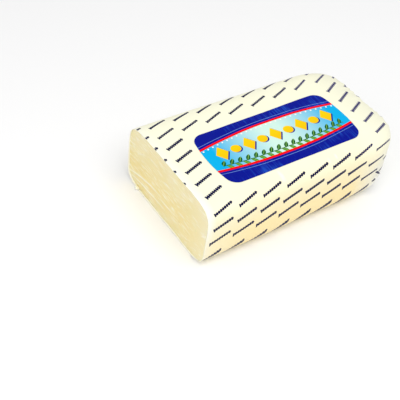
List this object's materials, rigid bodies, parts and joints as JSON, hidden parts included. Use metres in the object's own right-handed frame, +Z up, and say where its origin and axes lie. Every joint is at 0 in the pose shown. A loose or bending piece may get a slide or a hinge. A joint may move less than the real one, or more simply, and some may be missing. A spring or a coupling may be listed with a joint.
{
  "type": "mozzarella block in film wrap",
  "caption": "Loaf-shaped catering block of mozzarella in a tight printed film wrap, sliced square at one end to show the cheese, with a bowed label on top.",
  "frame": {"origin": "middle of the underside, on the surface that the block rests on", "axes": "+X along the block from the sliced end to the closed end, +Y from its front side to its back side, +Z up"},
  "size_m": [0.217, 0.1404, 0.0732],
  "materials": {
    "cheese": null,
    "film": "softly glossy cream film with short slanted navy dashes",
    "label": "satin coated, navy with fields of sky blue, green, red and yellow"
  },
  "bodies": {
    "root": {"cheese": "cheese", "film_wrap": "film", "label": "label"}
  },
  "joints": []
}
